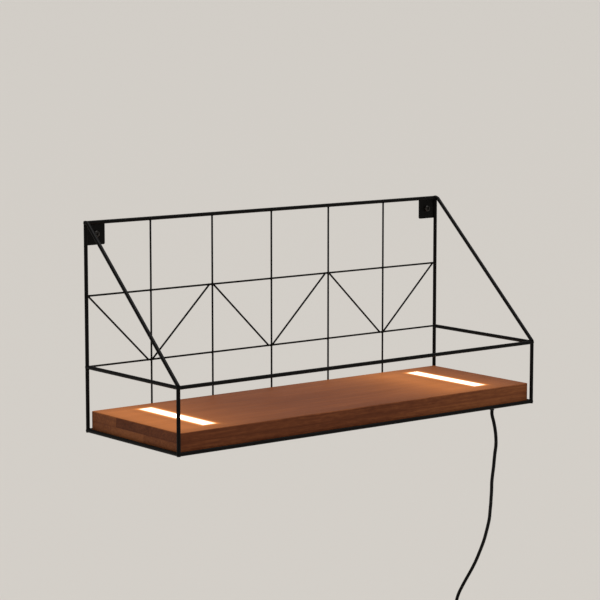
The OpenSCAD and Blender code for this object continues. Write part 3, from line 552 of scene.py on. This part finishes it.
brass = speckled("brass_terminal", "#b08a3a", "#d0a955", 0.9, 0.3, 0.03, Metallic=1.0)
nickel = speckled("nickel_plated_pin", "#b8b6b0", "#d4d2cd", 1.4, 0.18, 0.01, Metallic=1.0)
print(f"{len(bpy.data.materials)} materials in the scene")

# %% [markdown]
# ## Which piece wears which finish
#
# Most of the CAD pieces are rods, wires and tabs of the frame, so the powder coat is what
# a piece gets if the table doesn't name it.

# %% Dress the CAD nodes
finishes = {
    wood: ["shelf_board"],
    opal: ["lens_left", "lens_right"],
    solder_mask: ["led_board_left", "led_board_right"],
    phosphor: ["leds_left", "leds_right"],
    abs_driver: ["led_driver"],
    sleeve: ["led_wires_left", "led_wires_right", "mains_cores", "switch_cores"],
    abs_cover: ["bottom_cover"],
    black_zinc: ["strap_screws", "cover_screws"],
    rubber: ["strain_relief", "coil_tie"],
    nylon: ["switch_base", "switch_cover"],
    polished_abs: ["switch_rocker"],
    brass: ["switch_terminals"],
    bright_zinc: ["switch_screws"],
    pvc_plug: ["plug_body"],
    nickel: ["plug_pins"],
    pvc_sheath: ["lead", "lead_coil"],
}
finish_of = {name: material for material, names in finishes.items() for name in names}
for name, node in nodes.items():
    node.data.materials.clear()
    node.data.materials.append(finish_of.get(name, powder_coat))
print(f"{len(nodes) - len(finish_of)} nodes of the frame are powder coated")

# %% Dress and place the cord
for cord in (lead_cord, coil_cord):
    cord.data.materials.append(pvc_sheath)
    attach(cord, LAMP)
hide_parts("lead")
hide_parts("lead_coil")

# %% [markdown]
# ## Pieces made from rings
#
# The pieces that follow are modelled here. Most are round along a line, so they grow
# from a ring of edges that is extruded again and again. One helper extrudes a ring, and
# another turns a finished shape into a piece that rides on the lamp. Sharp edges are
# marked where the faces turn by more than 40 degrees, so that a screw's rim stays crisp
# and its dome stays smooth.

# %% Extrude a ring
def extrude_ring(shape, edges):
    """Extrudes a ring on the spot and returns the new ring's vertices and edges."""
    grown = bmesh.ops.extrude_edge_only(shape, edges=edges)["geom"]
    verts = {part for part in grown if isinstance(part, bmesh.types.BMVert)}
    ring = [part for part in grown
            if isinstance(part, bmesh.types.BMEdge) and verts.issuperset(part.verts)]
    return verts, ring


# %% Turn a shape into a piece
SHARP = math.radians(40)


def piece_from(shape, name, material, crisp=True):
    """Turns a bmesh into a finished, smooth-shaded piece that rides on the lamp."""
    mesh = bpy.data.meshes.new(name)
    shape.to_mesh(mesh)
    shape.free()
    mesh.materials.append(material)
    mesh.shade_smooth()
    if crisp:
        mesh.set_sharp_from_angle(angle=SHARP)
    piece = bpy.data.objects.new(name, mesh)
    bpy.context.collection.objects.link(piece)
    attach(piece, LAMP)
    return piece


# %% [markdown]
# ## Bent braces
#
# A brace leans from the top corner at the wall to the front corner of the guard rail.
# The CAD brace is straight, but on the real lamp its upper end is bent level, so that
# it butts against the corner, and the whole brace lies a little further out. A bent
# rod is made as a bender makes it: a ring is extruded, spun round the bend's centre and
# extruded again.

# %% Bent braces
rod_segments = 20
bend_r = 6 * MM
bend_steps = 6
level_l = 4.3 * MM       # from the post's middle to where the two straight lines cross
foot_lift = 2 * MM       # the foot stands this much above the guard rail's corner


def push(shape, edges, way):
    """Extrudes a ring along a vector and returns the new ring."""
    verts, ring = extrude_ring(shape, edges)
    bmesh.ops.translate(shape, verts=list(verts), vec=way)
    return ring


def make_brace(side, sx):
    top = Vector((sx * post_x, back_y, top_z))
    corner = top - Vector((0, level_l, 0))
    end = Vector((sx * post_x, front_y, guard_z + foot_lift))
    lean = (end - corner).normalized()
    angle = lean.angle(Vector((0, -1, 0)))
    cut = bend_r * math.tan(angle / 2)

    shape = bmesh.new()
    facing_out = Matrix.Translation(top) @ Matrix.Rotation(math.radians(90), 4, "X")
    bmesh.ops.create_circle(shape, segments=rod_segments, radius=rod_r, matrix=facing_out)
    butt = shape.edges[:]
    ring = push(shape, butt, (0, cut - level_l, 0))
    centre = corner + Vector((0, cut, -bend_r))
    spun = bmesh.ops.spin(
        shape, geom=ring, cent=centre, axis=(1, 0, 0), angle=angle, steps=bend_steps)["geom_last"]
    ring = [part for part in spun if isinstance(part, bmesh.types.BMEdge)]
    foot = push(shape, ring, end - corner - lean * cut)
    for open_end in (butt, foot):
        bmesh.ops.edgeloop_fill(shape, edges=open_end)
    bmesh.ops.recalc_face_normals(shape, faces=shape.faces)
    print(f"{side} brace: bent by {math.degrees(angle):.0f} degrees")
    brace = piece_from(shape, "bent_brace_" + side, powder_coat)
    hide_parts("brace_" + side)


make_brace("left", -1)
make_brace("right", 1)

# %% [markdown]
# ## Weld beads
#
# The rods are joined by small arc welds, which powder coating rounds over, and the thin
# wires by spot welds. A weld fills the inner corner between two rods and hardly shows
# elsewhere, so each is a ball, round at a corner and pressed flat along a seam, and just
# thicker than what it joins. The beads at the wall are cut level with it.

# %% Sizes of the weld beads
corner_r = 1.18 * rod_r
tab_seam_l, strap_seam_l = 4 * MM, 5 * MM       # half as long as the seam
seam_r, tab_seam_t, strap_seam_t = 1.0 * MM, 0.8 * MM, 0.9 * MM
spot_r, cross_r = 1.3 * wire_r, 1.5 * wire_r
foot_l, foot_t = 1.6 * wire_r, 1.2 * wire_r     # where a zigzag wire ends on a level wire
print(f"beads at the corners {2 * corner_r / MM:.1f} mm thick")


# %% Weld beads
def bead(shape, place, radii, fineness=3):
    """A ball pressed to three radii."""
    made = bmesh.ops.create_icosphere(shape, subdivisions=fineness, radius=1.0)
    bmesh.ops.scale(shape, verts=made["verts"], vec=radii)
    bmesh.ops.translate(shape, verts=made["verts"], vec=place)


def make_weld_beads():
    shape = bmesh.new()
    for sx in (-1, 1):
        for y, z in ((back_y, top_z), (back_y, guard_z), (back_y, bottom_z),
                     (front_y, guard_z), (front_y, bottom_z)):
            bead(shape, (sx * post_x, y, z), (corner_r, corner_r, corner_r))

    # Short seams hold the wall tabs and the straps
    tab, tab_y = middle("wall_tab_right"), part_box("wall_tab_right")[0].y
    strap = middle("board_strap_right")
    for sx in (-1, 1):
        bead(shape, (sx * tab.x, tab_y, top_z - rod_r), (tab_seam_l, tab_seam_t, seam_r))
        bead(shape, (sx * (post_x - rod_r), tab_y, tab.z), (seam_r, tab_seam_t, tab_seam_l))
        for y in (back_y - rod_r, front_y + rod_r):
            bead(shape, (sx * strap.x, y, strap.z), (strap_seam_l, seam_r, strap_seam_t))

    # Spot welds hold the grille's wires to the rails and to each other
    for i in range(1, 6):
        x = middle(f"grid_upright_{i}").x
        for z in (upper_z, guard_z):
            bead(shape, (x, (level_y + upright_y) / 2, z), (cross_r, wire_r, cross_r), 2)
        for z in (top_z - rod_r, bottom_z + rod_r):
            bead(shape, (x, upright_y, z), (spot_r, wire_r, spot_r), 2)
    for i in range(1, 7):
        low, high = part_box(f"zigzag_wire_{i}")
        first_z, last_z = (upper_z, guard_z) if i % 2 else (guard_z, upper_z)
        for x, z in ((low.x + wire_r, first_z), (high.x - wire_r, last_z)):
            bead(shape, (x, level_y, z), (foot_l, wire_r, foot_t), 2)

    everything = shape.verts[:] + shape.edges[:] + shape.faces[:]
    bmesh.ops.bisect_plane(
        shape, geom=everything, plane_co=(0, 0, 0), plane_no=(0, 1, 0), clear_outer=True)
    bmesh.ops.holes_fill(shape, edges=shape.edges, sides=0)
    print(f"weld beads: {len(shape.faces)} faces")
    return piece_from(shape, "weld_beads", powder_coat, crisp=False)


weld_beads = make_weld_beads()

# %% [markdown]
# ## Screws
#
# Cross-head screws hold the lamp to the wall, the board to its straps, the cover under
# the board and the switch's two halves. A screw is a turned shape, so it grows ring by
# ring: the edge loop is extruded and each new ring gets a radius and a height. The last
# rings are pushed into a plus sign and down, which makes the driver's recess.

# %% A screw's proportions
screw_segments = 24
tip_share = 0.3                     # the tip's radius, of the shank's
dome_bulge = 0.35                   # a domed head's rim is lower than a flat one's by this share
rim_share, shoulder_share = 0.85, 0.45
shoulder_r_share, crown_r_share = 0.9, 0.66
recess_arm, recess_foot_arm = 0.5, 0.42         # of the head's radius
recess_floor = 0.4                  # of the head's height
arm_slimness = 0.3                  # half an arm's width, of its length
arm_corner = 15                     # where an arm's end meets its side, in degrees from its middle


# %% A screw's shape
def plus_sign(point, arm, half_width):
    """Moves a circle's point onto a plus sign with arms of that length and half width."""
    x, y = abs(point.x), abs(point.y)
    angle = math.degrees(math.atan2(min(x, y), max(x, y)))
    past_corner = min(1, max(0, (angle - arm_corner) / (45 - arm_corner)))
    long = arm - (arm - half_width) * past_corner
    short = half_width * min(1, angle / arm_corner)
    along_x, along_y = (long, short) if x >= y else (short, long)
    return math.copysign(along_x, point.x), math.copysign(along_y, point.y)


def next_ring(shape, edges, height, radius=None, arm=None):
    """Extrudes a ring to a new height, as a circle or as a plus sign."""
    verts, ring = extrude_ring(shape, edges)
    for vert in verts:
        if radius is not None:
            vert.co.xy = vert.co.xy.normalized() * radius
        else:
            vert.co.xy = plus_sign(vert.co, arm, arm * arm_slimness)
        vert.co.z = height
    return ring


def screw_mesh(head_r, head_t, shank_r, shank_l, flat=False):
    """One screw with its head's seat at the origin and its head towards +Z, in metres."""
    shape = bmesh.new()
    bmesh.ops.create_circle(shape, segments=screw_segments, radius=shank_r * tip_share)
    bmesh.ops.translate(shape, verts=shape.verts[:], vec=(0, 0, -shank_l))
    tip = edges = shape.edges[:]
    bulge = 0.0 if flat else dome_bulge
    rim_z = head_t * (1 - bulge) * rim_share
    shoulder_z = head_t * (1 - bulge * shoulder_share)
    rings = [
        (-shank_l + shank_r, shank_r), (0, shank_r), (0, head_r), (rim_z, head_r),
        (shoulder_z, head_r * shoulder_r_share), (head_t, head_r * crown_r_share)]
    for height, radius in rings:
        edges = next_ring(shape, edges, height, radius=radius)
    edges = next_ring(shape, edges, head_t, arm=head_r * recess_arm)
    edges = next_ring(shape, edges, head_t * recess_floor, arm=head_r * recess_foot_arm)
    bmesh.ops.edgeloop_fill(shape, edges=edges)
    bmesh.ops.edgeloop_fill(shape, edges=tip)
    bmesh.ops.recalc_face_normals(shape, faces=shape.faces)
    mesh = bpy.data.meshes.new("screw")
    shape.to_mesh(mesh)
    shape.free()
    return mesh


# %% Set like screws in their places
first_stop, next_stop = 20, 37      # in degrees: each screw stops at an angle of its own


def screws_at(name, mesh, places, towards, material):
    """One piece of several like screws, with their heads pointing in one direction."""
    turn = Vector(towards).to_track_quat("Z", "X").to_matrix().to_4x4()
    shape = bmesh.new()
    for i, place in enumerate(places):
        copy = mesh.copy()
        spun = Matrix.Rotation(math.radians(next_stop * i + first_stop), 4, "Z")
        copy.transform(Matrix.Translation(place) @ turn @ spun)
        shape.from_mesh(copy)
        bpy.data.meshes.remove(copy)
    return piece_from(shape, name, material)


# %% Wall screws
hole_in = 16 * MM                   # from a post's middle to the hole in its tab
wall_head_r, wall_head_t, wall_shank_r = 4.4 * MM, 3.4 * MM, 2.2 * MM
wall_screw_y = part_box("wall_tab_right")[0].y
wall_mesh = screw_mesh(wall_head_r, wall_head_t, wall_shank_r, -wall_screw_y)
wall_places = [(sx * (post_x - hole_in), wall_screw_y, 0) for sx in (-1, 1)]
wall_screws = screws_at("wall_screws", wall_mesh, wall_places, (0, -1, 0), black_zinc)
print(f"screws: {len(wall_places)} in the wall tabs")

# %% Strap screws
strap_low, strap_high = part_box("strap_screws")
strap_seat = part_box("board_strap_right")[0].z
strap_head_r, strap_shank_r = 3 * MM, 1.5 * MM
strap_mesh = screw_mesh(
    strap_head_r, strap_seat - strap_low.z, strap_shank_r, strap_high.z - strap_seat)
strap_places = [
    (x, y, strap_seat) for x in (strap_low.x + strap_head_r, strap_high.x - strap_head_r)
    for y in (strap_low.y + strap_head_r, strap_high.y - strap_head_r)]
strap_heads = screws_at("strap_screw_set", strap_mesh, strap_places, (0, 0, -1), black_zinc)
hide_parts("strap_screws")
print(f"screws: {len(strap_places)} in the straps")

# %% Cover screws
cover_low, cover_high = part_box("cover_screws")
cover_head_r, cover_head_t, cover_shank_r = 2.3 * MM, 1.2 * MM, 1.2 * MM
cover_shank_l = size("cover_screws").z - cover_head_t
cover_mesh = screw_mesh(cover_head_r, cover_head_t, cover_shank_r, cover_shank_l, flat=True)
first_x, last_x = cover_low.x + cover_head_r, cover_high.x - cover_head_r
cover_places = [
    (first_x + i * (last_x - first_x) / 3, y, cover_low.z + cover_head_t)
    for y in (cover_low.y + cover_head_r, cover_high.y - cover_head_r) for i in range(4)]
cover_heads = screws_at("cover_screw_set", cover_mesh, cover_places, (0, 0, -1), black_zinc)
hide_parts("cover_screws")
print(f"screws: {len(cover_places)} in the cover")

# %% [markdown]
# ## Floor and light
#
# The floor is plain and pale, and so large that its edge lies past the picture. A soft
# sun lights it evenly near and far, and the world fills the shadows. Together they come
# to about one, the level at which a colour renders as it is written. A pale floor
# would throw so much light back that the board's sides looked as bright as its top, so
# it is darker for the light that bounces than for the camera and for reflections.

# %% Floor
floor_half, floor_gap = 600, 2 * MM


def make_floor():
    shape = bmesh.new()
    bmesh.ops.create_grid(shape, x_segments=1, y_segments=1, size=floor_half)
    bmesh.ops.translate(shape, verts=shape.verts, vec=(0, 0, cad_box[0].z - floor_gap))
    mesh = bpy.data.meshes.new("floor")
    shape.to_mesh(mesh)
    shape.free()
    floor = bpy.data.objects.new("floor", mesh)
    bpy.context.collection.objects.link(floor)
    material, tree, shader = start_material("pale_floor")
    ray = tree.nodes.new("ShaderNodeLightPath").outputs
    seen = add(tree, "Math", {0: ray["Is Camera Ray"], 1: ray["Is Glossy Ray"]}, operation="ADD")
    seen = add(tree, "Math", {0: seen, 1: ray["Is Transmission Ray"]}, operation="ADD", use_clamp=True)
    colour = ramp(tree, seen, [(0.0, "#9f9c98"), (1.0, "#d9d5cf")])
    feed(tree, shader, {"Base Color": colour, "Roughness": 0.9})
    mesh.materials.append(material)
    floor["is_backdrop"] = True


make_floor()
print(f"floor {floor_gap / MM:.0f} mm below the lowest piece")

# %% Light
fill_strength = 0.38
sun_strength = 1.95
sun_softness = math.radians(35)
sun_direction = Vector((-0.12, 0.1, -0.99))

world = bpy.data.worlds.new("world")
bpy.context.scene.world = world
world.use_nodes = True
feed(world.node_tree, world.node_tree.nodes["Background"], {
    "Color": linear("#f1eeea"), "Strength": fill_strength})

sun = bpy.data.objects.new("sun", bpy.data.lights.new("sun", "SUN"))
sun.data.energy = sun_strength
sun.data.angle = sun_softness
sun.rotation_euler = sun_direction.to_track_quat("-Z", "Y").to_euler()
bpy.context.collection.objects.link(sun)
bpy.context.scene.view_settings.view_transform = "Standard"
print(f"sun {sun_strength}, world {fill_strength}")

# %% [markdown]
# ## Check and finish
#
# The dressed lamp's size is compared with the CAD model's, and the change is printed.

# %% Sizes and finish
look_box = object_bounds()
change = (look_box[1] - look_box[0]) - (cad_box[1] - cad_box[0])
print("size change in mm", [round(x / MM, 2) for x in change])
